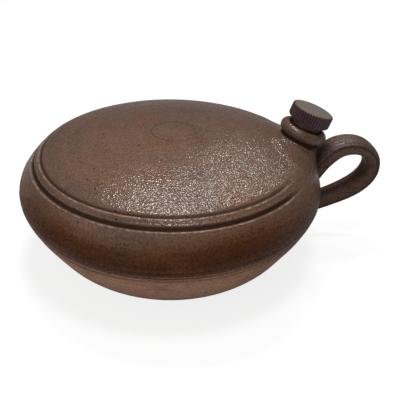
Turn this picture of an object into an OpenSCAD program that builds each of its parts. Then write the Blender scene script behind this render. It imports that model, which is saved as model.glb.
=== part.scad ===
// Flat round stoneware flask that lies on its foot. A thrown bowl carries a low domed top,
// and the groove turned at the shoulder hides the joint between them. A short neck leans
// outwards on the shoulder and is closed by a screw stopper on a rubber washer. A pulled
// strap handle springs from the shoulder just outside the neck and lands on the belly.
// Origin at the centre of the foot, +Z up, neck and handle along +X, millimetres.

/* [Body] */
// Widest diameter of the belly
body_d = 240; // [220:2:260]
// Height of the widest ring above the table
belly_z = 60.5; // [56:0.5:64]
// Diameter of the flat foot
foot_d = 144; // [130:2:156]
// Diameter of the shoulder, where bowl and top are joined
shoulder_d = 218.6; // [214:0.2:222]
// Height of the shoulder joint
shoulder_z = 85; // [82:0.5:88]
// Thickness of the thrown wall
wall = 7; // [5:0.5:8]

/* [Domed top] */
// Diameter at which the sloping shoulder band ends and the dome begins
dome_d = 204; // [200:1:208]
// Height at which the dome begins
dome_z = 91.2; // [90:0.2:93]
// Height of the middle of the dome
dome_top = 106.6; // [102:0.2:110]
// Radius of the tool that turned the two shoulder grooves
groove_r = 2; // [1:0.1:2.6]
// Diameter of the fine ring scribed near the middle of the dome
ring_d = 34.5; // [24:0.5:44]
// How far the scribed ring sits off centre, towards the neck
ring_shift = 1.5; // [0:0.5:4]

/* [Neck] */
// Lean of the neck from upright
neck_tilt = 20; // [14:0.5:24]
// How far the middle of the collar stands inside the belly's widest radius
collar_in = 13.4; // [10:0.2:16]
// Height of the middle of the collar
collar_z = 101; // [98:0.5:106]
// Outer diameter of the rolled collar
collar_d = 38.8; // [36:0.2:42]
// Thickness of the collar along the neck
collar_t = 8; // [6:0.5:9]
// Outer diameter of the neck just under the collar
neck_d = 32.4; // [30:0.2:34]
// Diameter of the bore
bore_d = 22; // [18:0.5:23]
// How far the skirt of the neck runs out beside the handle
skirt_near = 4; // [2:0.5:8]
// How far the skirt of the neck runs out on the dome
skirt_far = 16; // [12:0.5:18]
// How much further it runs out to the two sides
skirt_side = 28; // [18:1:29]
// How full the slope of the skirt is, from 0, close to the neck, to 1, a straight cone
skirt_full = 0.4; // [0:0.05:0.6]

/* [Stopper] */
// Diameter of the fluted head
head_d = 34.2; // [32:0.2:36]
// Height of the head
head_h = 10.8; // [9:0.2:14]
// Number of flutes round the head
flutes = 46; // [36:1:72]
// Depth of the flutes
flute_depth = 0.7; // [0.4:0.1:1]
// Length of the shank below the collar's seat
shank_l = 15; // [12:0.5:16]
// Radial clearance of the shank in the bore and in the washer
fit_gap = 0.08; // [0.04:0.01:0.1]
// Outer diameter of the rubber washer
washer_d = 24.5; // [24:0.5:29]
// Thickness of the rubber washer
washer_t = 4.8; // [2:0.2:5]

/* [Handle] */
// Width of the strap where it leaves the shoulder
strap_w = 24; // [18:0.5:28]
// Thickness of the strap where it leaves the shoulder
strap_t = 13.4; // [10:0.2:14]
// Part of its width and thickness that the strap has left at its lower end
strap_taper = 0.8; // [0.7:0.05:1]
// Depth of the two finger grooves along the back of the strap
strap_groove = 0.9; // [0:0.1:1.2]

/* [Hidden] */
clay = [0.40, 0.31, 0.27];

body_r = body_d / 2;
foot_r = foot_d / 2;
shoulder_r = shoulder_d / 2;
dome_r = dome_d / 2;
bore_r = bore_d / 2;
neck_r = neck_d / 2;
collar_r = collar_d / 2;
collar_u = body_r - collar_in;
washer_gap = 0.1;
seat_s = collar_t / 2;
head_s = seat_s + washer_t + 2 * washer_gap;
shank_r = bore_r - fit_gap;

// Catmull-Rom curve through the points p, with n steps in each span
function curve_point(a, b, c, d, t) =
    0.5 * (2 * b + (c - a) * t + (2 * a - 5 * b + 4 * c - d) * t * t
        + (3 * b - a - 3 * c + d) * t * t * t);
function curve(p, n) = let (m = len(p) - 1) concat(
    [for (i = [0 : m - 1]) for (k = [0 : n - 1])
        curve_point(i > 0 ? p[i - 1] : 2 * p[0] - p[1], p[i], p[i + 1],
            i < m - 1 ? p[i + 2] : 2 * p[m] - p[m - 1], k / n)],
    [p[m]]);

// Uniform cubic B-spline led by the points p, with n steps in each span
function lead(p, i) = i < 0 ? 2 * p[0] - p[1]
    : i > len(p) - 1 ? 2 * p[len(p) - 1] - p[len(p) - 2] : p[i];
function spline_point(p, i, t) =
    (pow(1 - t, 3) * lead(p, i - 1) + (3 * t * t * t - 6 * t * t + 4) * lead(p, i)
        + (3 * t + 3 * t * t - 3 * t * t * t + 1) * lead(p, i + 1)
        + t * t * t * lead(p, i + 2)) / 6;
function spline(p, n) = concat(
    [for (i = [0 : len(p) - 2]) for (k = [0 : n - 1]) spline_point(p, i, k / n)],
    [p[len(p) - 1]]);

// Points of the line p moved by t to its left, square to the line
function moved(p, t) = [for (i = [0 : len(p) - 1])
    let (d = p[min(i + 1, len(p) - 1)] - p[max(i - 1, 0)]) p[i] + t * [-d[1], d[0]] / norm(d)];

// Outside of the bowl from foot to shoulder. Each middle point of the flank gives how far it
// has come from the foot, as a part of the way out to the belly and of the way up to it.
flank = [[0.24, 0.10], [0.49, 0.28], [0.685, 0.50], [0.88, 0.75]];
upper_r = 0.979 * body_r;
upper_z = belly_z + 0.51 * (shoulder_z - belly_z);
bowl_line = curve(concat([[foot_r, 0]],
    [for (f = flank) [foot_r + f[0] * (body_r - foot_r), f[1] * belly_z]],
    [[body_r, belly_z], [upper_r, upper_z], [shoulder_r, shoulder_z]]), 5);

// Outside of the top: a straight band, then a parabola up to the middle
dome_steps = 16;
function dome_height(r) = dome_top - (dome_top - dome_z) * pow(r / dome_r, 2);
dome_line = [for (k = [0 : dome_steps - 1])
    let (r = dome_r * (1 - k / dome_steps)) [r, dome_height(r)]];

// Inside of the walls, one wall thickness in from the outside
cavity_line = concat([for (q = moved(bowl_line, wall)) if (q[1] > wall) q],
    moved(dome_line, wall));

// Outside of the thrown vessel, with its three turned lines cut in
module vessel_form() {
    difference() {
        rotate_extrude($fn = 120)
            polygon(concat([[0, 0]], bowl_line, dome_line, [[0, dome_top]]));
        turned_lines();
    }
}

module cavity() {
    rotate_extrude($fn = 120)
        polygon(concat([[0, wall]], cavity_line, [[0, dome_top - wall]]));
}

// A tool of round section run once round the wheel at radius r and height z
module turned_line(r, z, tool_r) {
    translate([0, 0, z]) rotate_extrude($fn = 120) translate([r, 0]) circle(tool_r, $fn = 24);
}

// The two grooves at the ends of the shoulder band, and the scribed ring on the dome
module turned_lines() {
    turned_line(shoulder_r + 0.3, shoulder_z + 0.5, groove_r);
    turned_line(dome_r + 0.1, dome_z + 0.7, 0.85 * groove_r);
    translate([ring_shift, 0, 0])
        turned_line(ring_d / 2, dome_height(ring_d / 2) + 0.5, 1.1);
}

// Frame of the neck: origin in the middle of the collar, Z along the bore and out of the mouth
module at_neck() {
    translate([collar_u, 0, collar_z]) rotate([0, neck_tilt, 0]) children();
}

// Rolled collar, as a half outline that ends above in the flat seat
roll_r = collar_r - collar_t / 2;
collar_line = [for (a = [-90 : 15 : 90])
    [roll_r + collar_t / 2 * cos(a), collar_t / 2 * sin(a)]];

// Height of the vessel's outside above the table at radius r
shoulder_curve = concat(
    [for (i = [len(bowl_line) - 1 : -1 : 0]) if (bowl_line[i][1] > belly_z) bowl_line[i]],
    [[body_r, belly_z]]);
function outside(r) = r < dome_r ? dome_height(r)
    : r < shoulder_r ? dome_z + (shoulder_z - dome_z) * (r - dome_r) / (shoulder_r - dome_r)
    : lookup(r, shoulder_curve);

// The neck under the collar is a skirt that leaves the collar straight down the bore's axis
// and turns out onto the vessel, far out on the dome and to the sides, and steeply down the
// belly beside the handle. A point on it: a goes round the axis, 0 at the handle; k from 0 to 1
// goes down.
skirt_s = -3;
skirt_turns = 48;
skirt_rings = 10;
skirt_sink = 0.6;
function from_neck(r, a, s) = [
    collar_u + s * sin(neck_tilt) + r * cos(a) * cos(neck_tilt),
    r * sin(a),
    collar_z + s * cos(neck_tilt) - r * cos(a) * sin(neck_tilt)];
function above(p) = p[2] - outside(norm([p[0], p[1]]));
function meeting(a, lo, hi, n) = let (mid = (lo + hi) / 2)
    n == 0 ? from_neck(neck_r, a, mid)
    : above(from_neck(neck_r, a, mid)) > 0 ? meeting(a, lo, mid, n - 1)
    : meeting(a, mid, hi, n - 1);
function landing(a) = let (
    m = meeting(a, -30, 0, 12),
    side = pow(sin(a / 2), 2),
    reach = skirt_near + (skirt_far - skirt_near) * side + skirt_side * pow(sin(a), 4),
    x = m[0] + reach * cos(a),
    y = m[1] + reach * sin(a),
    r = norm([x, y]),
    held = min(1, (body_r - 0.4) / r))
    [x * held, y * held, outside(r * held) - skirt_sink];
function skirt_point(a, k) = let (
    start = from_neck(neck_r, a, skirt_s),
    end = landing(a),
    bend = (1 - skirt_full) * meeting(a, -30, 0, 12) + skirt_full * (start + end) / 2)
    pow(1 - k, 2) * start + 2 * k * (1 - k) * bend + k * k * end;

module skirt() {
    n = skirt_turns;
    points = [for (j = [0 : skirt_rings]) for (i = [0 : n - 1])
        skirt_point(360 * i / n, j / skirt_rings)];
    inner_edge = [for (i = [0 : n - 1])
        let (p = points[skirt_rings * n + i]) [0.85 * p[0], 0.85 * p[1], p[2] - 8]];
    sides = [for (j = [0 : skirt_rings]) for (i = [0 : n - 1])
        let (p = j * n + i, q = j * n + (i + 1) % n) each [[p, q, p + n], [q, q + n, p + n]]];
    top = [for (i = [n - 1 : -1 : 0]) i];
    last = (skirt_rings + 1) * n;
    under = [for (i = [0 : n - 1]) [last + i, last + (i + 1) % n, last + n]];
    middle = [from_neck(0, 0, -30)];
    polyhedron(concat(points, inner_edge, middle), concat(sides, [top], under));
}

module neck_form() {
    at_neck() rotate_extrude($fn = 96)
        polygon(concat([[0, -seat_s]], collar_line, [[0, seat_s]]));
    skirt();
}

module bore() {
    at_neck() translate([0, 0, -22]) cylinder(h = 40, r = bore_r, $fn = 96);
}

// Bowl, thrown open: foot, belly and shoulder, up to the joint
module bowl() {
    color(clay) difference() {
        rotate_extrude($fn = 120) polygon(concat([[0, 0]], bowl_line, [[0, shoulder_z]]));
        cavity();
        turned_lines();
        bore();
    }
}

// Domed top, thrown as a lid and luted onto the bowl
module dome() {
    color(clay) difference() {
        rotate_extrude($fn = 120) polygon(concat([[0, shoulder_z], [shoulder_r, shoulder_z]],
            dome_line, [[0, dome_top]]));
        cavity();
        turned_lines();
        bore();
    }
}

// Neck, thrown apart, cut to the slope of the shoulder and smeared onto it
module neck() {
    color(clay) difference() {
        neck_form();
        vessel_form();
        bore();
    }
}

// The strap's middle line, as points that lead a spline in the plane of the neck. Each is how
// far it lies outside the belly and how high it stands.
strap_lead = [[-7, 63], [-4, 66], [6, 78], [14, 84.5], [22, 87.4], [33.4, 87.6], [46.8, 80.6],
    [52.4, 64.5], [40.4, 47.4], [16.2, 38.5], [0, 33], [-24, 27]];
strap_steps = 4;
strap_line = spline([for (q = strap_lead) q + [body_r, 0]], strap_steps);

// Half section of the strap: a soft flat oval whose outer face has two lengthwise grooves
section_n = 28;
groove_at = [-0.42, 0.02];
groove_w = 0.13;
function dip(x) = let (d = [for (g = groove_at) exp(-pow((x - g) / groove_w, 2))]) d[0] + d[1];
function soft(v) = sign(v) * pow(abs(v), 0.66);
function section(w, t, cut) = [for (k = [0 : section_n - 1])
    let (a = 360 * k / section_n, x = soft(cos(a)), y = soft(sin(a)))
        [w / 2 * x, t / 2 * y - (y > 0 ? cut * dip(x) * y : 0)]];

// Each end of the strap is spread where it was pressed onto the body
function spread(s) = 1 + 0.25 * pow(max(0, 1 - s / 0.12), 2)
    + 0.35 * pow(max(0, 1 - (1 - s) / 0.2), 2);

module handle() {
    last = len(strap_line) - 1;
    rings = [for (i = [0 : last])
        let (s = i / last, thin = 1 - (1 - strap_taper) * s,
            d = strap_line[min(i + 1, last)] - strap_line[max(i - 1, 0)],
            out = [-d[1], d[0]] / norm(d))
            for (q = section(strap_w * thin * spread(s), strap_t * thin, strap_groove))
                [strap_line[i][0] + q[1] * out[0], q[0], strap_line[i][1] + q[1] * out[1]]];
    n = section_n;
    sides = [for (i = [0 : last - 1]) for (k = [0 : n - 1])
        let (a = i * n + k, b = i * n + (k + 1) % n) each [[a, a + n, b], [b, a + n, b + n]]];
    caps = [[for (k = [0 : n - 1]) k], [for (k = [n - 1 : -1 : 0]) last * n + k]];
    color(clay) difference() {
        polyhedron(rings, concat(sides, caps));
        vessel_form();
        neck_form();
    }
}

// Rubber washer on the shank, between the collar's seat and the head
module washer() {
    color([0.16, 0.13, 0.11]) at_neck() translate([0, 0, seat_s + washer_gap]) difference() {
        rotate_extrude($fn = 72) polygon([[0, 0], [washer_d / 2 - 0.6, 0], [washer_d / 2, 0.8],
            [washer_d / 2, washer_t - 0.8], [washer_d / 2 - 0.6, washer_t], [0, washer_t]]);
        translate([0, 0, -1]) cylinder(h = washer_t + 2, r = bore_r, $fn = 72);
    }
}

// Moulded stopper: a fluted head with softened rims, and the shank that carries the thread
module stopper() {
    head_r = head_d / 2;
    steps = 4;
    flute_line = [for (k = [0 : flutes * steps - 1])
        let (a = 360 * k / (flutes * steps), r = head_r - flute_depth * (1 - cos(a * flutes)) / 2)
            [r * cos(a), r * sin(a)]];
    color([0.22, 0.15, 0.16]) at_neck() {
        translate([0, 0, head_s]) intersection() {
            linear_extrude(head_h) polygon(flute_line);
            rotate_extrude($fn = 96) polygon([[0, 0], [head_r - 4.2, 0], [head_r - 2.4, 0.6],
                [head_r + 0.4, 2.8], [head_r + 0.4, head_h - 1.15], [head_r - 0.9, head_h],
                [0, head_h]]);
        }
        translate([0, 0, seat_s - shank_l + 1])
            cylinder(h = head_s - seat_s + shank_l, r = shank_r, $fn = 96);
        translate([0, 0, seat_s - shank_l])
            cylinder(h = 1, r1 = shank_r - 1, r2 = shank_r, $fn = 96);
    }
}

bowl();
dome();
neck();
handle();
washer();
stopper();
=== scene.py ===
import math

import bmesh
import bpy
import numpy as np
from mathutils import Matrix, Vector, noise


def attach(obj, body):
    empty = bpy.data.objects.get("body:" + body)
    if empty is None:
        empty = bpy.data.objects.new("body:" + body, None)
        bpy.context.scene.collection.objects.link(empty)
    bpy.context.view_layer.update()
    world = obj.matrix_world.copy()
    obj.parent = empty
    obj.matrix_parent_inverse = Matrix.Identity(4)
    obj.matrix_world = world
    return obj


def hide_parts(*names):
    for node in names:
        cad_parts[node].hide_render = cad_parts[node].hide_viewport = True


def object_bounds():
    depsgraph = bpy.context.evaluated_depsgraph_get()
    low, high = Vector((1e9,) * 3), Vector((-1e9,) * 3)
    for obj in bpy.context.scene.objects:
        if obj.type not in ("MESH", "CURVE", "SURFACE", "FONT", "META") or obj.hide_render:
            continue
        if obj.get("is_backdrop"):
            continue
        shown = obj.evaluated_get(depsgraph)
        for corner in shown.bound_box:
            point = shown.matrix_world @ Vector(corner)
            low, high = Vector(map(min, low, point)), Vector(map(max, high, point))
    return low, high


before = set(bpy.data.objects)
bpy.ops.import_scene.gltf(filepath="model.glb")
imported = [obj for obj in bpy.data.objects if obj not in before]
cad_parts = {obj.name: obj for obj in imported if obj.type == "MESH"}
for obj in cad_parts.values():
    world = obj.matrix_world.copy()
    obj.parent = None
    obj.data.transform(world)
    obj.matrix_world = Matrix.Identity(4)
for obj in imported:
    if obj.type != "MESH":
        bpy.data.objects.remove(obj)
cad_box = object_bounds()

# Bowl
# The lower part of the flask: foot, belly and shoulder. Buff stoneware clay thrown on the wheel,
# cut off with a wire, and glazed with salt in the kiln. Its rim is luted to the domed top.

body_r, foot_r, wall = 0.120, 0.072, 0.007
belly_z, shoulder_r, shoulder_z = 0.0605, 0.1083, 0.0859
dome_r, dome_z, dome_top = 0.1016, 0.0916, 0.1066


def put(tree, kind, feeds=None, **settings):
    """A new node with its settings and its inputs, each a number, a colour or another socket."""
    node = tree.nodes.new(kind)
    for name, value in settings.items():
        setattr(node, name, value)
    for key, value in (feeds or {}).items():
        if isinstance(value, bpy.types.NodeSocket):
            tree.links.new(value, node.inputs[key])
        else:
            node.inputs[key].default_value = value
    return node


def sums(tree, operation, *values):
    """One sum on numbers, and its result."""
    return put(tree, "ShaderNodeMath", dict(enumerate(values)), operation=operation).outputs[0]


def shape_tree(name, sizes):
    """An empty shape tree with named inputs, and its sockets."""
    tree = bpy.data.node_groups.new(name, "GeometryNodeTree")
    for label, kind in [("Geometry", "Geometry"), *sizes]:
        tree.interface.new_socket(label, in_out="INPUT", socket_type="NodeSocket" + kind)
    tree.interface.new_socket("Geometry", in_out="OUTPUT", socket_type="NodeSocketGeometry")
    given = tree.nodes.new("NodeGroupInput").outputs
    return tree, given, tree.nodes.new("NodeGroupOutput").inputs[0]


def finish_tree(tree, shape, clay, result):
    """Ends a shape tree with smooth faces, real geometry and its material."""
    smooth = put(tree, "GeometryNodeSetShadeSmooth", {"Geometry": shape})
    real = put(tree, "GeometryNodeRealizeInstances", {"Geometry": smooth.outputs[0]})
    dressed = put(tree, "GeometryNodeSetMaterial", {"Geometry": real.outputs[0], "Material": clay})
    tree.links.new(dressed.outputs[0], result)


def grown(piece, tree, settings):
    """Runs a shape tree on a piece and leaves the result as its plain mesh."""
    modifier = piece.modifiers.new("shape", "NODES")
    modifier.node_group = tree
    for socket in tree.interface.items_tree:
        if socket.in_out == "INPUT" and socket.name in settings:
            modifier[socket.identifier] = settings[socket.name]
    return plain(piece)


def plain(piece):
    """Turns what the modifiers show into the piece's own mesh."""
    graph = bpy.context.evaluated_depsgraph_get()
    mesh = bpy.data.meshes.new_from_object(piece.evaluated_get(graph), depsgraph=graph)
    piece.modifiers.clear()
    piece.data = mesh
    mesh.name = piece.name
    return piece


def new_piece(name, mesh):
    piece = bpy.data.objects.new(name, mesh)
    bpy.context.scene.collection.objects.link(piece)
    return piece


def closed(piece):
    """Merges the doubles at seams and poles and points every face outwards."""
    work = bmesh.new()
    work.from_mesh(piece.data)
    bmesh.ops.remove_doubles(work, verts=work.verts, dist=1e-6)
    bmesh.ops.dissolve_degenerate(work, edges=work.edges, dist=1e-7)
    bmesh.ops.recalc_face_normals(work, faces=work.faces)
    work.to_mesh(piece.data)
    work.free()
    return piece


def rounded(points, steps):
    """Catmull-Rom curve through the points."""
    p = [2 * points[0] - points[1], *points, 2 * points[-1] - points[-2]]
    line = []
    for a, b, c, d in zip(p, p[1:], p[2:], p[3:]):
        for t in np.arange(steps) / steps:
            line.append(0.5 * (2 * b + (c - a) * t + (2 * a - 5 * b + 4 * c - d) * t * t
                               + (3 * b - a - 3 * c + d) * t ** 3))
    return np.array([*line, points[-1]])


def paced(line, pace):
    """The same line with points a steady distance apart."""
    walked = np.concatenate([[0], np.cumsum(np.linalg.norm(np.diff(line, axis=0), axis=1))])
    at = np.linspace(0, walked[-1], max(2, round(walked[-1] / pace) + 1))
    return np.stack([np.interp(at, walked, line[:, k]) for k in range(line.shape[1])], 1)


def left_of(line):
    """Unit vectors square to a line, on its left."""
    along = np.gradient(line, axis=0)
    along /= np.linalg.norm(along, axis=1, keepdims=True)
    return np.stack([-along[:, 1], along[:, 0]], 1)


def dome_height(r):
    return dome_top - (dome_top - dome_z) * (r / dome_r) ** 2


flank = [(0.24, 0.10), (0.49, 0.28), (0.685, 0.50), (0.88, 0.75)]
bowl_line = rounded([np.array(p) for p in [
    (foot_r, 0), *[(foot_r + a * (body_r - foot_r), b * belly_z) for a, b in flank],
    (body_r, belly_z), (0.979 * body_r, belly_z + 0.51 * (shoulder_z - belly_z)),
    (shoulder_r, shoulder_z)]], 16)
top_line = np.array([(r, dome_height(r)) for r in np.linspace(dome_r, 0, 60)])
cavity = np.concatenate([
    [p for p in bowl_line + wall * left_of(bowl_line) if p[1] > wall],
    (top_line + wall * left_of(top_line))[:-1]])
split = np.argmax(cavity[:, 1] > shoulder_z)
part = (shoulder_z - cavity[split - 1, 1]) / (cavity[split, 1] - cavity[split - 1, 1])
inner_rim = cavity[split - 1] + part * (cavity[split] - cavity[split - 1])

groove_tools = [((shoulder_r + 0.0001, shoulder_z + 0.0007), 0.0023),
                ((dome_r + 0.0001, dome_z + 0.0007), 0.0020)]


def grooved(line, out):
    """How the round tools of the shoulder grooves push each point in, and where their lips are."""
    push, lip = np.zeros(len(line)), np.zeros(len(line))
    for centre, size in groove_tools:
        away = line - np.array(centre)
        far = np.linalg.norm(away, axis=1)
        b = (away * out).sum(1)
        deep = b + np.sqrt(np.maximum(b * b - far ** 2 + size ** 2, 0))
        push = np.where(far < size, np.maximum(push, deep), push)
        lip = np.maximum(lip, np.exp(-((far - size - 0.0002) / 0.0005) ** 2) * (away[:, 0] > 0))
    return -out * push[:, None], np.stack([lip, 0 * lip], 1)


def profile(outer, inner, first_outer):
    """The half section of a thrown piece as a line, with what is done to each of its points."""
    out = -left_of(outer)
    cut, lip = grooved(outer, out)
    out = out * np.clip(outer[:, 1:] / 0.004, 0, 1)
    still = np.zeros((len(inner), 2))
    if first_outer:
        line, outs, cuts, lips = [np.concatenate(pair) for pair in
                                  ((outer, inner), (out, still), (cut, still), (lip, still))]
    else:
        line, outs, cuts, lips = [np.concatenate(pair) for pair in
                                  ((inner, outer), (still, out), (still, cut), (still, lip))]
    mesh = bpy.data.meshes.new("half_section")
    mesh.from_pydata([(r, 0, z) for r, z in line], [(i, i + 1) for i in range(len(line) - 1)], [])
    for name, values in (("out", outs), ("cut", cuts), ("lip", lips)):
        held = mesh.attributes.new(name, "FLOAT_VECTOR", "POINT")
        held.data.foreach_set("vector", np.insert(values, 1, 0, axis=1).ravel())
    return mesh


# The wheel turns a half section round and leaves throwing lines and a slight wobble
wheel, given, result = shape_tree("thrown_clay", [
    ("Steps round", "Int"), ("Line height", "Float"), ("Line spacing", "Float"),
    ("Wobble", "Float"), ("Groove starts", "Float"), ("Groove full", "Float"),
    ("Ring radius", "Float"), ("Ring shift", "Float"), ("Ring depth", "Float"),
    ("Seed", "Int"), ("Clay", "Material")])
count = put(wheel, "GeometryNodeAttributeDomainSize", {"Geometry": given["Geometry"]})
around = sums(wheel, "ADD", given["Steps round"], 1)
grid = put(wheel, "GeometryNodeMeshGrid", {"Size X": 1, "Size Y": 1, "Vertices X": around,
                                           "Vertices Y": count.outputs["Point Count"]})
where = put(wheel, "ShaderNodeSeparateXYZ", {0: put(wheel, "GeometryNodeInputPosition").outputs[0]})
turn = sums(wheel, "MULTIPLY", sums(wheel, "ADD", where.outputs[0], 0.5), 2 * math.pi)
row = sums(wheel, "ROUND", sums(wheel, "MULTIPLY", sums(wheel, "ADD", where.outputs[1], 0.5),
                                sums(wheel, "SUBTRACT", count.outputs["Point Count"], 1)))
fetched = {}
for name in ("place", "out", "cut", "lip"):
    source = (put(wheel, "GeometryNodeInputPosition").outputs[0] if name == "place" else
              put(wheel, "GeometryNodeInputNamedAttribute", {"Name": name},
                  data_type="FLOAT_VECTOR").outputs[0])
    taken = put(wheel, "GeometryNodeSampleIndex", data_type="FLOAT_VECTOR")
    wheel.links.new(given["Geometry"], taken.inputs["Geometry"])
    wheel.links.new(source, [s for s in taken.inputs if s.name == "Value" and s.enabled][0])
    wheel.links.new(row, taken.inputs["Index"])
    fetched[name] = [s for s in taken.outputs if s.enabled][0]
from_neck_side = sums(wheel, "ABSOLUTE", sums(wheel, "WRAP", turn, math.pi, -math.pi))
depth = put(wheel, "ShaderNodeMapRange", {
    "Value": from_neck_side, "From Min": given["Groove starts"],
    "From Max": given["Groove full"]}, interpolation_type="SMOOTHSTEP").outputs[0]
cut = put(wheel, "ShaderNodeVectorMath", {0: fetched["cut"]}, operation="SCALE")
wheel.links.new(depth, cut.inputs["Scale"])
thrown = put(wheel, "ShaderNodeVectorMath", {0: fetched["place"], 1: cut.outputs[0]},
             operation="ADD").outputs[0]
flat = put(wheel, "ShaderNodeSeparateXYZ", {0: thrown})
side = put(wheel, "ShaderNodeCombineXYZ", {
    0: sums(wheel, "COSINE", turn), 1: sums(wheel, "SINE", turn)}).outputs[0]
ring_x = sums(wheel, "SUBTRACT", sums(wheel, "MULTIPLY", flat.outputs[0], sums(
    wheel, "COSINE", turn)), given["Ring shift"])
ring_y = sums(wheel, "MULTIPLY", flat.outputs[0], sums(wheel, "SINE", turn))
ring_off = sums(wheel, "DIVIDE", sums(wheel, "SUBTRACT", sums(wheel, "SQRT", sums(
    wheel, "ADD", sums(wheel, "MULTIPLY", ring_x, ring_x), sums(
        wheel, "MULTIPLY", ring_y, ring_y))), given["Ring radius"]), 0.0006)
scribe = sums(wheel, "MULTIPLY", sums(wheel, "EXPONENT", sums(wheel, "MULTIPLY", sums(
    wheel, "MULTIPLY", ring_off, ring_off), -1)), given["Ring depth"])
climb = sums(wheel, "DIVIDE", sums(wheel, "SUBTRACT", flat.outputs[2], flat.outputs[0]),
             given["Line spacing"])
drift = put(wheel, "ShaderNodeCombineXYZ", {
    0: sums(wheel, "MULTIPLY", sums(wheel, "COSINE", turn), 0.25),
    1: sums(wheel, "MULTIPLY", sums(wheel, "SINE", turn), 0.25), 2: climb}).outputs[0]
lines = put(wheel, "ShaderNodeTexNoise", {
    "Vector": drift, "W": given["Seed"], "Scale": 1, "Detail": 2}, noise_dimensions="4D")
slow = put(wheel, "ShaderNodeTexNoise", {
    "Vector": put(wheel, "ShaderNodeVectorMath", {0: side, 1: thrown}, operation="ADD").outputs[0],
    "W": given["Seed"], "Scale": 0.8, "Detail": 0}, noise_dimensions="4D")
ridge = put(wheel, "ShaderNodeMapRange", {
    "Value": lines.outputs[0], "From Min": 0.3, "From Max": 0.7}).outputs[0]
sway = put(wheel, "ShaderNodeMapRange", {
    "Value": slow.outputs[0], "From Min": 0.3, "From Max": 0.7}).outputs[0]
dent = sums(wheel, "ADD", sums(wheel, "MULTIPLY", ridge, given["Line height"]),
            sums(wheel, "MULTIPLY", sway, given["Wobble"]))
worn = put(wheel, "ShaderNodeVectorMath", {0: fetched["out"]}, operation="SCALE")
wheel.links.new(sums(wheel, "MULTIPLY", sums(wheel, "ADD", dent, scribe), -1),
                worn.inputs["Scale"])
final = put(wheel, "ShaderNodeSeparateXYZ", {0: put(wheel, "ShaderNodeVectorMath", {
    0: thrown, 1: worn.outputs[0]}, operation="ADD").outputs[0]})
placed = put(wheel, "ShaderNodeCombineXYZ", {
    0: sums(wheel, "MULTIPLY", final.outputs[0], sums(wheel, "COSINE", turn)),
    1: sums(wheel, "MULTIPLY", final.outputs[0], sums(wheel, "SINE", turn)),
    2: final.outputs[2]})
turned = put(wheel, "GeometryNodeSetPosition", {
    "Geometry": grid.outputs["Mesh"], "Position": placed.outputs[0]})
merged = put(wheel, "GeometryNodeMergeByDistance", {
    "Geometry": turned.outputs[0], "Distance": 1e-6})
# How deep each point lies in a groove or the scribed ring, read by the glaze for pooled glaze and painted
# shade
hollow = sums(wheel, "ADD", sums(wheel, "DIVIDE", put(
    wheel, "ShaderNodeVectorMath", {0: cut.outputs[0]}, operation="LENGTH").outputs["Value"],
    0.0046), sums(wheel, "MULTIPLY", scribe, 1500))
# Where the groove lips are, read by the glaze for a painted highlight
lip = sums(wheel, "MULTIPLY", put(wheel, "ShaderNodeSeparateXYZ", {0: fetched["lip"]}).outputs[0],
           depth)
noted = grid
for name, value in (("hollow", hollow), ("lip", lip)):
    noted = put(wheel, "GeometryNodeStoreNamedAttribute", {
        "Geometry": noted.outputs[0], "Name": name, "Value": value},
        data_type="FLOAT", domain="POINT")
wheel.links.new(noted.outputs[0], turned.inputs["Geometry"])
finish_tree(wheel, merged.outputs[0], given["Clay"], result)


def colour(red, green, blue):
    """A colour as a picture names it, 0 to 255, as the light values that nodes take."""
    parts = [c / 255 for c in (red, green, blue)]
    return [c / 12.92 if c <= 0.04045 else ((c + 0.055) / 1.055) ** 2.4 for c in parts] + [1]


def ramp(tree, factor, stops):
    """A colour ramp with its stops."""
    node = put(tree, "ShaderNodeValToRGB", {0: factor})
    for k, (place, tint) in enumerate(stops):
        stop = node.color_ramp.elements[k] if k < 2 else node.color_ramp.elements.new(place)
        stop.position, stop.color = place, tint
    return node.outputs[0]


def blend(tree, amount, under, over, way="MIX"):
    """Two colours mixed."""
    node = put(tree, "ShaderNodeMix", data_type="RGBA", blend_type=way)
    for key, value in ((0, amount), (6, under), (7, over)):
        if isinstance(value, bpy.types.NodeSocket):
            tree.links.new(value, node.inputs[key])
        else:
            node.inputs[key].default_value = value
    return node.outputs[2]


def grey(value):
    return [value, value, value, 1]


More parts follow.
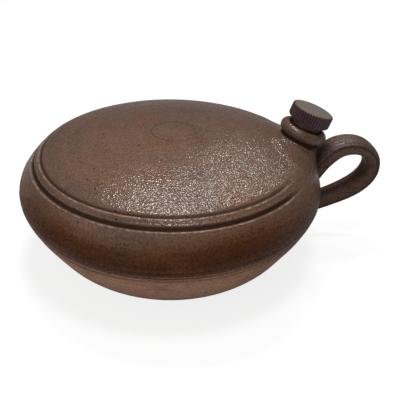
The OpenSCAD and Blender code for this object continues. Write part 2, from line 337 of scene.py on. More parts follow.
def salt_glaze(name, tones, peel=1.0, seed=0.0, nick=None):
    """Salt-glazed stoneware: tones by height, patches of flashing, orange peel and iron specks."""
    material = bpy.data.materials.new(name)
    material.use_nodes = True
    tree = material.node_tree
    tree.nodes.clear()
    spot = put(tree, "ShaderNodeTexCoord").outputs["Object"]
    parts = put(tree, "ShaderNodeSeparateXYZ", {0: spot}).outputs

    def cloud(scale, detail=2.0, vector=spot, rough=0.5, shift=0.0):
        return put(tree, "ShaderNodeTexNoise", {
            "Vector": vector, "W": seed + shift, "Scale": scale, "Detail": detail,
            "Roughness": rough}, noise_dimensions="4D").outputs[0]

    def between(value, low, high, first=0.0, last=1.0):
        return put(tree, "ShaderNodeMapRange", {
            "Value": value, "From Min": low, "From Max": high, "To Min": first, "To Max": last},
            interpolation_type="SMOOTHSTEP").outputs[0]

    def specks(scale, power, largest):
        cells = put(tree, "ShaderNodeTexVoronoi", {"Vector": spot, "Scale": scale})
        luck = put(tree, "ShaderNodeSeparateColor", {0: cells.outputs["Color"]}).outputs[0]
        size = sums(tree, "MULTIPLY", sums(tree, "POWER", luck, power), largest)
        return between(sums(tree, "DIVIDE", cells.outputs["Distance"], size), 1.05, 0.6)

    # Tones by height, broken up by flashing, rusty blushes and throwing lines
    wander = sums(tree, "MULTIPLY", sums(tree, "SUBTRACT", cloud(16, 3), 0.5), 0.014)
    level = sums(tree, "DIVIDE", sums(tree, "ADD", parts[2], wander), 0.125)
    tint = ramp(tree, level, [(z / 0.125, c) for z, c, _ in tones])
    matt = put(tree, "ShaderNodeSeparateColor", {0: ramp(tree, level, [
        (z / 0.125, grey(r)) for z, _, r in tones])}).outputs[0]
    flash = between(cloud(13, 4, rough=0.62, shift=3.1), 0.47, 0.66)
    tint = blend(tree, sums(tree, "MULTIPLY", flash, between(
        parts[2], 0.060, 0.086, 0.10, 0.42)), tint, colour(84, 70, 67))
    # The back of the flask, towards +y, is painted darker: painted shade
    tint = blend(tree, between(parts[1], -0.02, 0.10, 0.0, 0.40), tint, colour(72, 52, 44))
    rust = between(cloud(30, 4, rough=0.65, shift=7.7), 0.50, 0.70)
    tint = blend(tree, sums(tree, "MULTIPLY", rust, 0.45), tint, colour(124, 78, 52))
    stretched = put(tree, "ShaderNodeMapping", {"Vector": spot, "Scale": (18, 18, 620)}).outputs[0]
    streak = cloud(1, 4, stretched, 0.6)
    tint = blend(tree, 1.0, tint, ramp(tree, streak, [(0.3, grey(0.76)), (0.7, grey(1.0))]),
                 "MULTIPLY")
    drawn = put(tree, "ShaderNodeMapping", {"Vector": spot, "Scale": (5, 5, 420)}).outputs[0]
    scored = sums(tree, "MULTIPLY", between(cloud(1, 2, drawn, shift=5.2), 0.50, 0.60), sums(
        tree, "MULTIPLY", between(parts[2], 0.041, 0.047), between(parts[2], 0.068, 0.060)))
    tint = blend(tree, sums(tree, "MULTIPLY", scored, 0.6), tint, colour(50, 29, 21))
    # A painted grey sheen along the -x edge of the shoulder and upper belly
    edge_sheen = sums(tree, "MULTIPLY", between(parts[0], -0.060, -0.108), between(
        parts[2], 0.072, 0.088))
    tint = blend(tree, sums(tree, "MULTIPLY", edge_sheen, 0.5), tint, colour(80, 66, 58))
    tint = blend(tree, between(parts[0], 0.03, 0.10, 0.0, 0.6), tint, colour(96, 74, 63))
    mottle = cloud(620, 3, rough=0.7)
    tint = blend(tree, 1.0, tint, ramp(tree, mottle, [(0.34, grey(0.58)), (0.62, grey(1.05))]),
                 "MULTIPLY")
    dots = sums(tree, "MAXIMUM", specks(150.0, 2.2, 0.20), specks(400.0, 2.5, 0.30))
    tint = blend(tree, sums(tree, "MULTIPLY", dots, 0.85), tint, colour(38, 31, 30))

    # Glaze pools dark in the grooves and the scribed ring, deepened there with painted shade, and the
    # groove lips are lightened with a painted highlight
    hollow = put(tree, "ShaderNodeAttribute", attribute_name="hollow").outputs["Fac"]
    pooled_glaze_and_shade = between(sums(tree, "ADD", hollow, sums(tree, "MULTIPLY", mottle, 0.16)), 0.10, 0.42)
    tint = blend(tree, sums(tree, "MULTIPLY", pooled_glaze_and_shade, 0.90), tint, colour(52, 35, 26))
    # A broken painted highlight along the lips of the grooves
    lip = put(tree, "ShaderNodeAttribute", attribute_name="lip").outputs["Fac"]
    lip = sums(tree, "MULTIPLY", lip, between(cloud(240, 2, shift=4.4), 0.40, 0.62, 0.15, 0.7))
    tint = blend(tree, lip, tint, colour(172, 142, 120))

    pits = put(tree, "ShaderNodeTexVoronoi", {
        "Vector": spot, "Scale": 760.0, "Smoothness": 0.3}, feature="SMOOTH_F1")
    skin = sums(tree, "ADD", pits.outputs["Distance"], sums(tree, "MULTIPLY", cloud(
        900, 1), 0.35))
    mark = 0.0
    if nick:
        (nick_x, nick_y), bend, first, last = nick
        over = sums(tree, "SUBTRACT", parts[0], nick_x)
        along = sums(tree, "SUBTRACT", parts[1], nick_y)
        off = sums(tree, "SUBTRACT", sums(tree, "SQRT", sums(tree, "ADD", sums(
            tree, "MULTIPLY", over, over), sums(tree, "MULTIPLY", along, along))), bend)
        angle = sums(tree, "ARCTAN2", along, over)
        stretch = sums(tree, "MULTIPLY", sums(tree, "MULTIPLY", between(
            angle, first, first + 0.3), between(angle, last, last - 0.3)), between(
                parts[2], 0.085, 0.09))
        steep = sums(tree, "DIVIDE", off, 0.00042)
        mark = sums(tree, "MULTIPLY", stretch, sums(tree, "EXPONENT", sums(
            tree, "MULTIPLY", sums(tree, "MULTIPLY", steep, steep), -1)))
        # The inside of the crescent nick is painted dark: painted shade
        tint = blend(tree, sums(tree, "MULTIPLY", mark, 0.95), tint, colour(34, 24, 19))
        # A pale crescent just beside the nick: painted highlight on its edge
        steep = sums(tree, "DIVIDE", sums(tree, "ADD", off, 0.0011), 0.0005)
        edge_sheen = sums(tree, "MULTIPLY", stretch, sums(tree, "EXPONENT", sums(
            tree, "MULTIPLY", sums(tree, "MULTIPLY", steep, steep), -1)))
        tint = blend(tree, sums(tree, "MULTIPLY", edge_sheen, 0.45), tint, colour(176, 150, 132))
    grain = put(tree, "ShaderNodeBump", {
        "Height": skin, "Distance": 0.00023 * peel, "Strength": 1.0})
    ridges = put(tree, "ShaderNodeBump", {
        "Height": sums(tree, "SUBTRACT", sums(tree, "SUBTRACT", streak, sums(
            tree, "MULTIPLY", dots, 0.3)), sums(tree, "MULTIPLY", 2.0, mark)),
        "Distance": 0.00022, "Strength": 0.8, "Normal": grain.outputs[0]})
    gloss = sums(tree, "ADD", matt, sums(tree, "MULTIPLY", sums(
        tree, "SUBTRACT", cloud(60, 4, rough=0.7, shift=1.3), 0.5), 0.06))
    gloss = sums(tree, "ADD", gloss, sums(tree, "MULTIPLY", pooled_glaze_and_shade, 0.25))
    shiny = sums(tree, "MULTIPLY", between(parts[2], 0.070, 0.088, 0.1, 1.0), sums(
        tree, "MULTIPLY", between(mottle, 0.42, 0.60, 0.16, 0.64), sums(
            tree, "MULTIPLY_ADD", sums(tree, "MAXIMUM", pooled_glaze_and_shade, mark), -0.9, 1.0)))
    shader = put(tree, "ShaderNodeBsdfPrincipled", {
        "Base Color": tint, "Roughness": gloss, "Normal": ridges.outputs[0], "IOR": 1.5,
        "Specular IOR Level": shiny})
    put(tree, "ShaderNodeOutputMaterial", {"Surface": shader.outputs[0]})
    return material


# The pale tones low on the body hold the glaze's own lighter colour there, made paler still with painted
# light bounced up from the table
body_tones = [(0.000, colour(180, 140, 118), 0.42), (0.040, colour(176, 136, 114), 0.38),
              (0.049, colour(158, 118, 97), 0.34), (0.058, colour(96, 61, 45), 0.36),
              (0.064, colour(80, 46, 28), 0.36), (0.074, colour(92, 55, 31), 0.30),
              (0.084, colour(126, 95, 77), 0.22), (0.125, colour(121, 93, 80), 0.22)]
nick = ((0.04398, -0.07045), 0.00677, 0.37, 1.64)
body_glaze = salt_glaze("salt_glazed_body", body_tones, nick=nick)

edge = np.array([(foot_r - 0.0014 * (1 - math.sin(a)), 0.0014 * (1 - math.cos(a)))
                 for a in np.linspace(0, math.pi / 2, 6)])
foot = np.array([(0, 0.0009), (0.03, 0.0008), (0.060, 0.0003), (0.066, 0.0)])
outer = np.concatenate([paced(foot, 0.006)[:-1], edge[:-1],
                        paced(bowl_line[bowl_line[:, 1] > 0.0012], 0.0011)])
near = np.linalg.norm(outer - np.array([shoulder_r, shoulder_z]), axis=1) < 0.0035
outer = np.concatenate([outer[~near], paced(np.stack([
    np.interp(np.linspace(outer[~near][-1, 1], shoulder_z, 14), bowl_line[-40:, 1],
              bowl_line[-40:, 0]), np.linspace(outer[~near][-1, 1], shoulder_z, 14)], 1), 0.0003)[1:]])
below = np.concatenate([[inner_rim], cavity[:split][::-1]])
inner = np.concatenate([paced(below, 0.008), [(0, wall)]])
bowl = new_piece("clay_bowl", profile(outer, inner, True))
grown(bowl, wheel, {"Steps round": 640, "Line height": 0.00028, "Line spacing": 0.0035,
                    "Wobble": 0.0002, "Groove starts": 0.50, "Groove full": 0.92, "Seed": 3,
                    "Clay": body_glaze})

# Domed top
# A low dome thrown as a lid and luted to the bowl while wet. Two grooves run at the ends of its
# shoulder band, the lower one over the joint, and a fine ring is scribed near the middle.

ring_r = 0.01725
band = np.array([(shoulder_r, shoulder_z), (dome_r, dome_z)])
fine = top_line[:, 0]
outer = np.concatenate([
    paced(band, 0.0003), paced(top_line[fine > 0.0985], 0.0003)[1:],
    paced(top_line[(fine <= 0.0985) & (fine > 0.021)], 0.0013)[:-1],
    paced(top_line[(fine <= 0.0225) & (fine > 0.0135)], 0.0003),
    paced(top_line[fine <= 0.0135], 0.0013)[1:]])
above = np.concatenate([[inner_rim], cavity[split:]])[::-1]
inner = np.concatenate([[(0, dome_top - wall)], paced(above, 0.008)])
dome = new_piece("domed_top", profile(outer, inner, False))
grown(dome, wheel, {"Steps round": 640, "Line height": 0.00012, "Line spacing": 0.003,
                    "Wobble": 0.0002, "Groove starts": 0.50, "Groove full": 0.92, "Seed": 3,
                    "Ring radius": ring_r, "Ring shift": 0.0015, "Ring depth": 0.00015,
                    "Clay": body_glaze})

# Neck
# A short neck with a rolled collar, thrown apart, cut to the slope of the shoulder and smeared
# onto it with a wide skirt. The bore has a coarse pressed thread for the stopper.

tilt, collar_z, neck_r, bore_r = math.radians(20), 0.101, 0.0162, 0.011
collar_u, roll, seat = body_r - 0.0134, 0.004, 0.004
pitch, thread_depth = 0.004, 0.0012
up = np.array([math.sin(tilt), 0, math.cos(tilt)])
out_x = np.array([math.cos(tilt), 0, -math.sin(tilt)])
mouth = np.array([collar_u, 0, collar_z])


def at_neck(local):
    """Points given in the neck's own frame, moved to where the neck is."""
    local = np.asarray(local, float)
    return (mouth + local[..., :1] * out_x + local[..., 1:2] * np.array([0, 1, 0])
            + local[..., 2:] * up)


def from_neck(r, a, s):
    return at_neck([r * math.cos(a), r * math.sin(a), s])


falling = bowl_line[bowl_line[:, 1] >= belly_z][::-1]


def outside(r):
    """Height of the vessel's outside at radius r."""
    if r < dome_r:
        return dome_height(r)
    if r < shoulder_r:
        return dome_z + (shoulder_z - dome_z) * (r - dome_r) / (shoulder_r - dome_r)
    return float(np.interp(r, falling[:, 0], falling[:, 1]))


def meeting(a, size, hollow=0.0):
    """Where a line down the neck at angle a meets the vessel."""
    low, high = -0.034, 0.0
    for _ in range(18):
        middle = (low + high) / 2
        p = from_neck(size, a, middle)
        if hollow:
            r = math.hypot(p[0], p[1])
            free = p[2] > float(np.interp(r, roof[:, 0], roof[:, 1]))
        else:
            free = p[2] > outside(math.hypot(p[0], p[1]))
        low, high = (low, middle) if free else (middle, high)
    return from_neck(size, a, middle), middle


roof = cavity[cavity[:, 1] > belly_z]
roof = roof[np.argsort(roof[:, 0])]
near_reach, far_reach, side_reach, sink = 0.004, 0.016, 0.028, 0.0005
turns = 256


def tube_mesh(name, rings, weights=None):
    """A mesh from rings of points. The last ring joins the first, and each ring is closed."""
    rings = np.asarray(rings)
    rows, steps = rings.shape[:2]
    index = np.arange(rows * steps).reshape(rows, steps)
    nxt, beside = np.roll(index, -1, axis=0), np.roll(index, -1, axis=1)
    both = np.roll(nxt, -1, axis=1)
    faces = np.stack([index, beside, both, nxt], -1).reshape(-1, 4)
    mesh = bpy.data.meshes.new(name)
    mesh.from_pydata(rings.reshape(-1, 3).tolist(), [], faces.tolist())
    if weights is not None:
        held = mesh.attributes.new("weight", "FLOAT", "POINT")
        held.data.foreach_set("value", np.repeat(weights, steps))
    return mesh


roll_r = 0.0194 - roll
roll_line = [(roll_r + roll * math.cos(a), 0.0004 + 0.0045 * math.sin(a))
             for a in np.radians(np.arange(106, -81, -6))]
angles = np.arange(turns) * 2 * math.pi / turns
rings, weights, hollows = [], [], []
for r, s in [(0.0119, seat - 0.0002), (0.0126, seat), (0.0133, seat + 0.0003), *roll_line]:
    rings.append([from_neck(r, a, s) for a in angles])
    weights.append(0)
    # The seat under the stopper's head is marked for a painted shadow of the head, and the underside of
    # the collar's roll for painted shade
    hollows.append(0.9 if r < 0.0134 else max(0, min(1, (-0.0029 - s) / 0.0010)))
skirt = np.linspace(0, 1, 34) ** 1.15
foot_points = []
for a in angles:
    meet, _ = meeting(a, neck_r)
    half = math.sin(a / 2) ** 2
    reach = near_reach + (far_reach - near_reach) * half + side_reach * math.sin(a) ** 4
    x, y = meet[0] + reach * math.cos(a), meet[1] + reach * math.sin(a)
    r = math.hypot(x, y)
    held = min(1, (body_r - 0.0006) / r)
    foot_points.append((meet, np.array([x * held, y * held, outside(r * held) - sink])))
for k in skirt:
    ring = []
    for a, (meet, land) in zip(angles, foot_points):
        start = from_neck(0.0155, a, -0.0043)
        hold = from_neck(neck_r, a, -0.0062)
        full = 0.45 + 0.5 * math.sin(a) ** 2
        bend = (1 - full) * meet + full * (hold + land) / 2
        first = (1 - k) ** 2 * start + 2 * k * (1 - k) * bend + k * k * land
        second = (1 - k) ** 2 * hold + 2 * k * (1 - k) * bend + k * k * land
        ring.append(first + (second - first) * min(1, k * 9))
    rings.append(ring)
    weights.append(0)
    # The top of the skirt, just under the collar, is marked for painted shade
    hollows.append(max(0, 1 - k / 0.09))
ends = []
for a in angles:
    p, s = meeting(a, bore_r, 1.0)
    ends.append(max(s + 0.0003, -0.0215))
ends = np.array(ends)
for part in (0.35, 0.7, 1.0):
    rings.append([land * (1 - part) + from_neck(bore_r, a, e) * part
                  for a, e, (_, land) in zip(angles, ends, foot_points)])
    weights.append(0)
tap_r = bore_r - thread_depth + 0.0002
ladder = np.concatenate([np.linspace(-0.0165, -0.0140, 4), np.arange(-0.0135, 0.0036, 0.00025)])
for s in ladder:
    low = np.clip((s + 0.0145) / 0.0010, 0, 1)
    high = np.clip((s - 0.0026) / 0.0012, 0, 1)
    base = bore_r - (bore_r - tap_r) * low * (1 - high) + 0.0006 * high
    rings.append([from_neck(base, a, max(s, e + 0.0005) if s < -0.0135 else s)
                  for a, e in zip(angles, ends)])
    weights.append(float(low * (1 - high)))

# A coarse right-hand screw thread on every point that has a weight, round the neck's axis
screw, given, result = shape_tree("screw_thread", [
    ("Pitch", "Float"), ("Depth", "Float"), ("Clay", "Material")])
weight = put(screw, "GeometryNodeInputNamedAttribute", {"Name": "weight"},
             data_type="FLOAT").outputs[0]
local = put(screw, "ShaderNodeVectorRotate", {
    "Vector": put(screw, "ShaderNodeVectorMath", {
        0: put(screw, "GeometryNodeInputPosition").outputs[0], 1: tuple(mouth)},
        operation="SUBTRACT").outputs[0],
    "Axis": (0, 1, 0), "Angle": -tilt}, rotation_type="AXIS_ANGLE").outputs[0]
flat = put(screw, "ShaderNodeSeparateXYZ", {0: local}).outputs
turn = sums(screw, "DIVIDE", sums(screw, "ARCTAN2", flat[1], flat[0]), 2 * math.pi)
phase = sums(screw, "FRACT", sums(screw, "SUBTRACT", sums(
    screw, "DIVIDE", flat[2], given["Pitch"]), turn))
wave = sums(screw, "MULTIPLY", sums(screw, "ADD", sums(screw, "COSINE", sums(
    screw, "MULTIPLY", phase, 2 * math.pi)), 1), 0.5)
wave = put(screw, "ShaderNodeMapRange", {"Value": wave, "From Min": 0.12, "From Max": 0.88},
           interpolation_type="SMOOTHSTEP").outputs[0]
lift = sums(screw, "MULTIPLY", sums(screw, "MULTIPLY", wave, weight), given["Depth"])
spoke = put(screw, "ShaderNodeVectorMath", {0: put(screw, "ShaderNodeCombineXYZ", {
    0: flat[0], 1: flat[1]}).outputs[0]}, operation="NORMALIZE").outputs[0]
spoke = put(screw, "ShaderNodeVectorRotate", {
    "Vector": spoke, "Axis": (0, 1, 0), "Angle": tilt}, rotation_type="AXIS_ANGLE").outputs[0]
shift = put(screw, "ShaderNodeVectorMath", {0: spoke}, operation="SCALE")
screw.links.new(lift, shift.inputs["Scale"])
moved = put(screw, "GeometryNodeSetPosition", {
    "Geometry": given["Geometry"], "Offset": shift.outputs[0]})
finish_tree(screw, moved.outputs[0], given["Clay"], result)

neck_tones = [(0.0, colour(110, 80, 64), 0.20), (0.085, colour(118, 89, 74), 0.17),
              (0.100, colour(118, 89, 74), 0.17), (0.125, colour(116, 90, 76), 0.20)]
neck_glaze = salt_glaze("salt_glazed_neck", neck_tones, 1.1, 4.0)
neck = new_piece("neck_and_collar", tube_mesh("neck", rings, weights))
held = neck.data.attributes.new("hollow", "FLOAT", "POINT")
held.data.foreach_set("value", np.repeat(hollows + [0] * (len(rings) - len(hollows)), turns))
grown(neck, screw, {"Pitch": pitch, "Depth": thread_depth, "Clay": neck_glaze})
closed(neck)

# The bore passes through the wall of the bowl and of the top
cutter = new_piece("bore_tool", tube_mesh("bore_tool", [
    [from_neck(r, a, s) for a in angles[::4]]
    for r, s in ((1e-5, -0.022), (0.0113, -0.022), (0.0113, 0.02), (1e-5, 0.02))]))
closed(cutter)
for piece in (bowl, dome):
    closed(piece)
    hole = piece.modifiers.new("bore", "BOOLEAN")
    hole.object, hole.operation, hole.solver = cutter, "DIFFERENCE", "EXACT"
    plain(piece)
bpy.data.objects.remove(cutter)
for piece, node in ((bowl, "bowl"), (dome, "dome"), (neck, "neck")):
    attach(piece, "flask")
    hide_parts(node)

# Handle
# A strap pulled from a lump of wet clay, with finger grooves along its back. It is pressed on
# behind the neck and at the belly, and smoothed in at both ends.

strap_w, strap_t, taper = 0.024, 0.0134, 0.8
lead = np.array([[-7, 63], [-4, 66], [6, 78], [14, 84.5], [22, 87.4], [33.4, 87.6], [46.8, 80.6],
                 [52.4, 64.5], [40.4, 47.4], [16.2, 38.5], [0, 33], [-24, 27]]) / 1000
lead = lead + [body_r, 0]


def b_spline(points, steps):
    """Uniform cubic B-spline led by the points, ending at the last."""
    p = [2 * points[0] - points[1], *points, 2 * points[-1] - points[-2]]
    line = []
    for a, b, c, d in zip(p, p[1:], p[2:], p[3:]):
        for t in np.arange(steps) / steps:
            line.append(((1 - t) ** 3 * a + (3 * t ** 3 - 6 * t * t + 4) * b
                         + (1 + 3 * t + 3 * t * t - 3 * t ** 3) * c + t ** 3 * d) / 6)
    return np.array([*line, points[-1]])


path = paced(b_spline(lead, 16), 0.0011)
square = left_of(path)
stations = [0, 0.12, 0.25, 0.35, 0.45, 0.55, 0.63, 0.72, 0.82, 0.92, 1]
fuller = np.array([2.4, 2.0, 0.6, -0.3, 0.2, 1.3, 1.5, 0.7, 0.4, 1.3, 1.5]) / 1000
leaner = np.array([0, 0, 0, 0, 0.3, 0.5, 0.4, 0, 0, 0, 0]) / 1000
finger_lines = [(-0.78, 0.0006, 0.08), (-0.40, 0.0004, 0.07), (0.0, 0.0004, 0.07),
                (0.40, 0.0004, 0.07), (0.78, 0.0006, 0.08)]
rings, hollows = [], []
for i, (centre, out) in enumerate(zip(path, square)):
    s = i / (len(path) - 1)
    thin = 1 - (1 - taper) * s
    spread = 1 + 0.25 * max(0, 1 - s / 0.12) ** 2 + 0.35 * max(0, 1 - (1 - s) / 0.2) ** 2
    ring = []
    for a in np.arange(96) * 2 * math.pi / 96:
        x = math.copysign(abs(math.cos(a)) ** 0.66, math.cos(a))
        y = math.copysign(abs(math.sin(a)) ** 0.66, math.sin(a))
        dip = sum(deep * math.exp(-((x - g) / w) ** 2) for g, deep, w in finger_lines if y > 0)
        half = strap_t * thin / 2 + (np.interp(s, stations, fuller) if y < 0 else
                                     -np.interp(s, stations, leaner))
        wave = noise.noise(Vector((x * 1.5, y * 1.5, s * 14))) * 0.00025
        crease = 0.0010 * math.exp(-((y - 0.35) / 0.20) ** 2) * (abs(x) > 0.7)
        across = strap_w * thin * spread / 2 * x - math.copysign(crease, x)
        high = half * y - dip * max(y, 0) + wave * y
        # The finger grooves and side creases are marked for pooled glaze and painted shade
        hollows.append((0.4 * dip + 0.35 * crease) / 0.0016)
        ring.append((centre[0] + high * out[0], across, centre[1] + high * out[1]))
    rings.append(ring)
handle_mesh = tube_mesh("strap", rings)
held = handle_mesh.attributes.new("hollow", "FLOAT", "POINT")
held.data.foreach_set("value", hollows)
strap = new_piece("strap_handle", handle_mesh)
work = bmesh.new()
work.from_mesh(handle_mesh)
work.verts.ensure_lookup_table()
last = len(rings) - 1
bmesh.ops.delete(work, geom=[f for f in work.faces if
                             {v.index // 96 for v in f.verts} == {0, last}], context="FACES")
bmesh.ops.holes_fill(work, edges=[e for e in work.edges if e.is_boundary])
for face in work.faces:
    face.smooth = True
work.to_mesh(handle_mesh)
work.free()
strap_tones = [(0.0, colour(86, 66, 56), 0.42), (0.07, colour(88, 67, 57), 0.46),
               (0.125, colour(82, 63, 54), 0.50)]
handle_mesh.materials.append(salt_glaze("salt_glazed_strap", strap_tones, 0.5, 9.0))
closed(strap)
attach(strap, "flask")
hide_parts("handle")

# Washer
# A moulded rubber ring on the stopper's shank, squeezed between the head and the collar's seat,
# gone brown and a little dry with age.

washer_in, washer_out, washer_t = 0.011, 0.01225, 0.0048
rings = []
for a in np.linspace(0, 2 * math.pi, 33)[:-1]:
    r = (washer_in + washer_out) / 2 + (washer_out - washer_in) / 2 * math.copysign(
        abs(math.cos(a)) ** 0.6, math.cos(a))
    s = seat + 0.0001 + washer_t / 2 * (1 + math.copysign(abs(math.sin(a)) ** 0.6, math.sin(a)))
    rings.append([from_neck(r, b, s) for b in np.arange(120) * 2 * math.pi / 120])
rubber = bpy.data.materials.new("aged_rubber")
rubber.use_nodes = True
tree = rubber.node_tree
tree.nodes.clear()
spot = put(tree, "ShaderNodeTexCoord").outputs["Object"]
dust = put(tree, "ShaderNodeTexNoise", {"Vector": spot, "Scale": 300.0, "Detail": 4.0}).outputs[0]
grain = put(tree, "ShaderNodeTexNoise", {"Vector": spot, "Scale": 1500.0, "Detail": 2.0}).outputs[0]
tint = ramp(tree, dust, [(0.35, colour(44, 29, 20)), (0.65, colour(84, 56, 36))])
bump = put(tree, "ShaderNodeBump", {"Height": grain, "Distance": 0.0001, "Strength": 0.6})
shader = put(tree, "ShaderNodeBsdfPrincipled", {
    "Base Color": tint, "Normal": bump.outputs[0], "Roughness": sums(
        tree, "ADD", 0.45, sums(tree, "MULTIPLY", dust, 0.25))})
put(tree, "ShaderNodeOutputMaterial", {"Surface": shader.outputs[0]})
washer = new_piece("rubber_washer", tube_mesh("washer", rings))
washer.data.materials.append(rubber)
for face in washer.data.polygons:
    face.use_smooth = True
closed(washer)
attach(washer, "washer")
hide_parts("washer")

# Stopper
# A screw stopper moulded from dark plum-brown plastic, with flutes round its head. Its top
# has gone dull and pale with handling. The shank carries the thread.

head_s, head_h, head_r, shank_r = 0.0094, 0.0104, 0.0171, 0.0109
root_r = shank_r - thread_depth
crown = head_s + head_h
section = [(1e-6, crown - 0.0002, 0, 0)]
section += [(r, crown - 0.0002 * (1 - (r / 0.0152) ** 2), 0, 0)
            for r in np.linspace(0.002, 0.0152, 8)]
section += [(0.0156, crown, 0, 0), (0.0161, crown - 0.00012, 0, 0.2)]
section += [(head_r - 0.0009 * (1 - math.sin(a)), crown - 0.0002 - 0.0009 * (1 - math.cos(a)), 0,
             0.3 + 0.7 * a / 1.57) for a in np.linspace(0.5, math.pi / 2, 5)]
section += [(head_r, s, 0, 1) for s in np.linspace(crown - 0.0015, head_s + 0.0018, 9)]
section += [(head_r - 0.0018 * (1 - math.cos(a)), head_s + 0.0018 - 0.0018 * math.sin(a), 0,
             max(0, 1 - a / 1.3)) for a in np.linspace(0.25, math.pi / 2, 6)]
section += [(r, head_s, 0, 0) for r in (0.0138, 0.0127)]
section += [(0.0124, head_s - 0.0002, 0, 0), (0.0122, 0.0091, 0, 0), (0.0118, 0.0089, 0, 0)]
section += [(shank_r, 0.0088, 0, 0), (shank_r, 0.0042, 0, 0), (root_r, 0.0033, 0, 0)]
section += [(root_r, s, float(np.clip(min((0.0030 - s) / 0.001, (s + 0.0102) / 0.001), 0, 1)), 0)
            for s in np.arange(0.0030, -0.0103, -0.00025)]
section += [(root_r - 0.0006, -0.0110, 0, 0), (0.004, -0.0110, 0, 0), (1e-6, -0.0110, 0, 0)]

# Moulded flutes: every point that has a share in them is drawn in between the ribs
fluting, given, result = shape_tree("moulded_flutes", [
    ("Flutes", "Int"), ("Depth", "Float"), ("Sharpness", "Float"), ("Plastic", "Material")])
share = put(fluting, "GeometryNodeInputNamedAttribute", {"Name": "flute"},
            data_type="FLOAT").outputs[0]
local = put(fluting, "ShaderNodeVectorRotate", {
    "Vector": put(fluting, "ShaderNodeVectorMath", {
        0: put(fluting, "GeometryNodeInputPosition").outputs[0], 1: tuple(mouth)},
        operation="SUBTRACT").outputs[0],
    "Axis": (0, 1, 0), "Angle": -tilt}, rotation_type="AXIS_ANGLE").outputs[0]
flat = put(fluting, "ShaderNodeSeparateXYZ", {0: local}).outputs
angle = sums(fluting, "MULTIPLY", sums(fluting, "ARCTAN2", flat[1], flat[0]), given["Flutes"])
rib = sums(fluting, "POWER", sums(fluting, "MULTIPLY", sums(
    fluting, "SUBTRACT", 1, sums(fluting, "COSINE", angle)), 0.5), given["Sharpness"])
pull = sums(fluting, "MULTIPLY", sums(fluting, "MULTIPLY", rib, share), sums(
    fluting, "MULTIPLY", given["Depth"], -1))
spoke = put(fluting, "ShaderNodeVectorRotate", {"Vector": put(
    fluting, "ShaderNodeVectorMath", {0: put(fluting, "ShaderNodeCombineXYZ", {
        0: flat[0], 1: flat[1]}).outputs[0]}, operation="NORMALIZE").outputs[0],
    "Axis": (0, 1, 0), "Angle": tilt}, rotation_type="AXIS_ANGLE").outputs[0]
shift = put(fluting, "ShaderNodeVectorMath", {0: spoke}, operation="SCALE")
fluting.links.new(pull, shift.inputs["Scale"])
moved = put(fluting, "GeometryNodeSetPosition", {
    "Geometry": given["Geometry"], "Offset": shift.outputs[0]})
# The depth between the ribs is stored for painted shade in the flutes
noted = put(fluting, "GeometryNodeStoreNamedAttribute", {
    "Geometry": moved.outputs[0], "Name": "hollow", "Value": sums(
        fluting, "MULTIPLY", rib, share)}, data_type="FLOAT", domain="POINT")
finish_tree(fluting, noted.outputs[0], given["Plastic"], result)

plastic = bpy.data.materials.new("moulded_plastic")
plastic.use_nodes = True
tree = plastic.node_tree
tree.nodes.clear()
spot = put(tree, "ShaderNodeTexCoord").outputs["Object"]
lean = put(tree, "ShaderNodeVectorMath", {0: spot, 1: tuple(mouth)}, operation="SUBTRACT").outputs[0]
rise = put(tree, "ShaderNodeVectorMath", {0: lean, 1: tuple(up)}, operation="DOT_PRODUCT").outputs["Value"]
blotch = put(tree, "ShaderNodeTexNoise", {
    "Vector": spot, "Scale": 160.0, "Detail": 4.0, "Roughness": 0.6}).outputs[0]
fine = put(tree, "ShaderNodeTexNoise", {"Vector": spot, "Scale": 1800.0, "Detail": 2.0}).outputs[0]
top = put(tree, "ShaderNodeMapRange", {
    "Value": rise, "From Min": crown - 0.0007, "From Max": crown - 0.0003},
    interpolation_type="SMOOTHSTEP").outputs[0]
reach = put(tree, "ShaderNodeVectorMath", {0: put(tree, "ShaderNodeVectorMath", {
    0: lean, 1: tuple(up)}, operation="CROSS_PRODUCT").outputs[0]}, operation="LENGTH").outputs[1]
worn = put(tree, "ShaderNodeMapRange", {
    "Value": reach, "From Min": 0.0160, "From Max": 0.0152}, interpolation_type="SMOOTHSTEP")
top = sums(tree, "MULTIPLY", top, worn.outputs[0])
plum = ramp(tree, blotch, [(0.3, colour(72, 40, 45)), (0.7, colour(92, 55, 61))])
faded = ramp(tree, blotch, [(0.3, colour(102, 91, 83)), (0.7, colour(114, 103, 94))])
tint = blend(tree, top, plum, faded)
# Painted shade, nearly black, between the ribs of the flutes
flute_shade = put(tree, "ShaderNodeAttribute", attribute_name="hollow").outputs["Fac"]
tint = blend(tree, sums(tree, "MULTIPLY", flute_shade, 0.85), tint, colour(20, 11, 12))
bump = put(tree, "ShaderNodeBump", {"Height": fine, "Distance": 0.00003, "Strength": 0.5})
rough = sums(tree, "MULTIPLY_ADD", blotch, 0.14, 0.38)
shader = put(tree, "ShaderNodeBsdfPrincipled", {
    "Base Color": tint, "Roughness": rough, "Normal": bump.outputs[0]})
put(tree, "ShaderNodeOutputMaterial", {"Surface": shader.outputs[0]})

turns = 480
rings = [[from_neck(r, a, s) for a in np.arange(turns) * 2 * math.pi / turns]
         for r, s, _, _ in section]
mesh = tube_mesh("stopper", rings, [w for _, _, w, _ in section])
held = mesh.attributes.new("flute", "FLOAT", "POINT")
held.data.foreach_set("value", np.repeat([f for _, _, _, f in section], turns))
stopper = new_piece("fluted_stopper", mesh)
grown(stopper, screw, {"Pitch": pitch, "Depth": thread_depth, "Clay": plastic})
grown(stopper, fluting, {"Flutes": 46, "Depth": 0.0009, "Sharpness": 0.9, "Plastic": plastic})
closed(stopper)
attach(stopper, "stopper")
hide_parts("stopper")

# Studio
# A pale table under soft light from above and behind, and a camera that stands about half a
# metre from the flask and looks down at it.

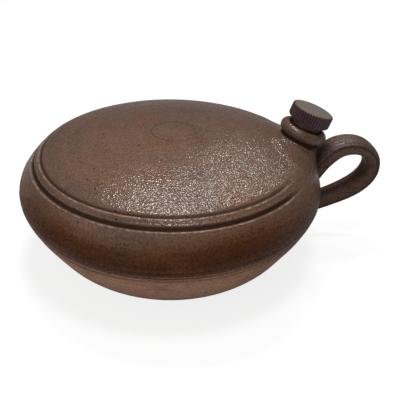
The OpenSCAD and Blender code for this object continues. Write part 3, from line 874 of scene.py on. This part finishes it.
table_mesh = bpy.data.meshes.new("table")
table_mesh.from_pydata([(-3, -3, 0), (3, -3, 0), (3, 3, 0), (-3, 3, 0)], [], [(0, 1, 2, 3)])
table = new_piece("table", table_mesh)
paper = bpy.data.materials.new("white_paper")
paper.use_nodes = True
tree = paper.node_tree
tree.nodes.clear()
seen = put(tree, "ShaderNodeLightPath")
fibre = put(tree, "ShaderNodeTexNoise", {
    "Vector": put(tree, "ShaderNodeTexCoord").outputs["Object"], "Scale": 40.0}).outputs[0]
pale = ramp(tree, fibre, [(0, grey(0.80)), (1, grey(0.82))])
pale = blend(tree, seen.outputs["Is Glossy Ray"], pale, grey(0.5))
sheet = put(tree, "ShaderNodeBsdfDiffuse", {
    "Color": blend(tree, seen.outputs["Is Camera Ray"], pale, grey(0.25))})
shine = put(tree, "ShaderNodeEmission", {
    "Color": (1, 1, 1, 1), "Strength": sums(
        tree, "MULTIPLY", seen.outputs["Is Camera Ray"], 0.82)})
both = put(tree, "ShaderNodeAddShader", {0: sheet.outputs[0], 1: shine.outputs[0]})
put(tree, "ShaderNodeOutputMaterial", {"Surface": both.outputs[0]})
table_mesh.materials.append(paper)
table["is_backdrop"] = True

world = bpy.data.worlds.new("studio")
bpy.context.scene.world = world
world.use_nodes = True
tree = world.node_tree
tree.nodes.clear()
seen = put(tree, "ShaderNodeLightPath")
dim = sums(tree, "MULTIPLY_ADD", seen.outputs["Is Glossy Ray"], -0.09, 0.20)
sky = put(tree, "ShaderNodeBackground", {
    "Color": (1, 1, 1, 1), "Strength": sums(
        tree, "MULTIPLY_ADD", seen.outputs["Is Camera Ray"], 0.80, dim)})
put(tree, "ShaderNodeOutputWorld", {"Surface": sky.outputs[0]})

for name, place, aim, axis, sizes, power in (
        ("softbox_above", (0.04, -0.20, 1.35), (0, 0, 0.08), (1, 0, 0), (0.3, 0.3), 7.0),
        ("lamp_behind", (0.00, 0.41, 1.31), (0.0, -0.07, 0.09), (1, 0.2, -0.25), (0.34, 0.05),
         7.0),
        ("small_lamp_behind", (0.49, 0.74, 1.00), (0.02, -0.07, 0.09), (0.7, 0, -0.7),
         (0.16, 0.05), 2.2),
        ("softbox_in_front", (-1.40, -1.55, 0.75), (0, 0, 0.04), (0.74, -0.67, 0), (3.0, 1.3),
         11.5)):
    lamp = bpy.data.lights.new(name, "AREA")
    lamp.shape, lamp.energy = "RECTANGLE", power
    lamp.size, lamp.size_y = sizes
    light = bpy.data.objects.new(name, lamp)
    back = (Vector(place) - Vector(aim)).normalized()
    across = (Vector(axis) - back * back.dot(Vector(axis))).normalized()
    turned = Matrix((across, back.cross(across), back)).transposed()
    light.location, light.rotation_euler = place, turned.to_euler()
    bpy.context.scene.collection.objects.link(light)

lens = bpy.data.cameras.new("camera")
lens.sensor_width, lens.lens = 36, 56.685
lens.clip_start = 0.01
camera = bpy.data.objects.new("camera", lens)
camera.location = (-0.04933, -0.44477, 0.31486)
camera.rotation_euler = [math.radians(a) for a in (58.759, -1.306, -8.567)]
bpy.context.scene.collection.objects.link(camera)
bpy.context.scene.camera = camera
bpy.context.scene.view_settings.view_transform = "Standard"

sizes = {"cad": [list(corner) for corner in cad_box],
         "visual": [list(corner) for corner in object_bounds()]}
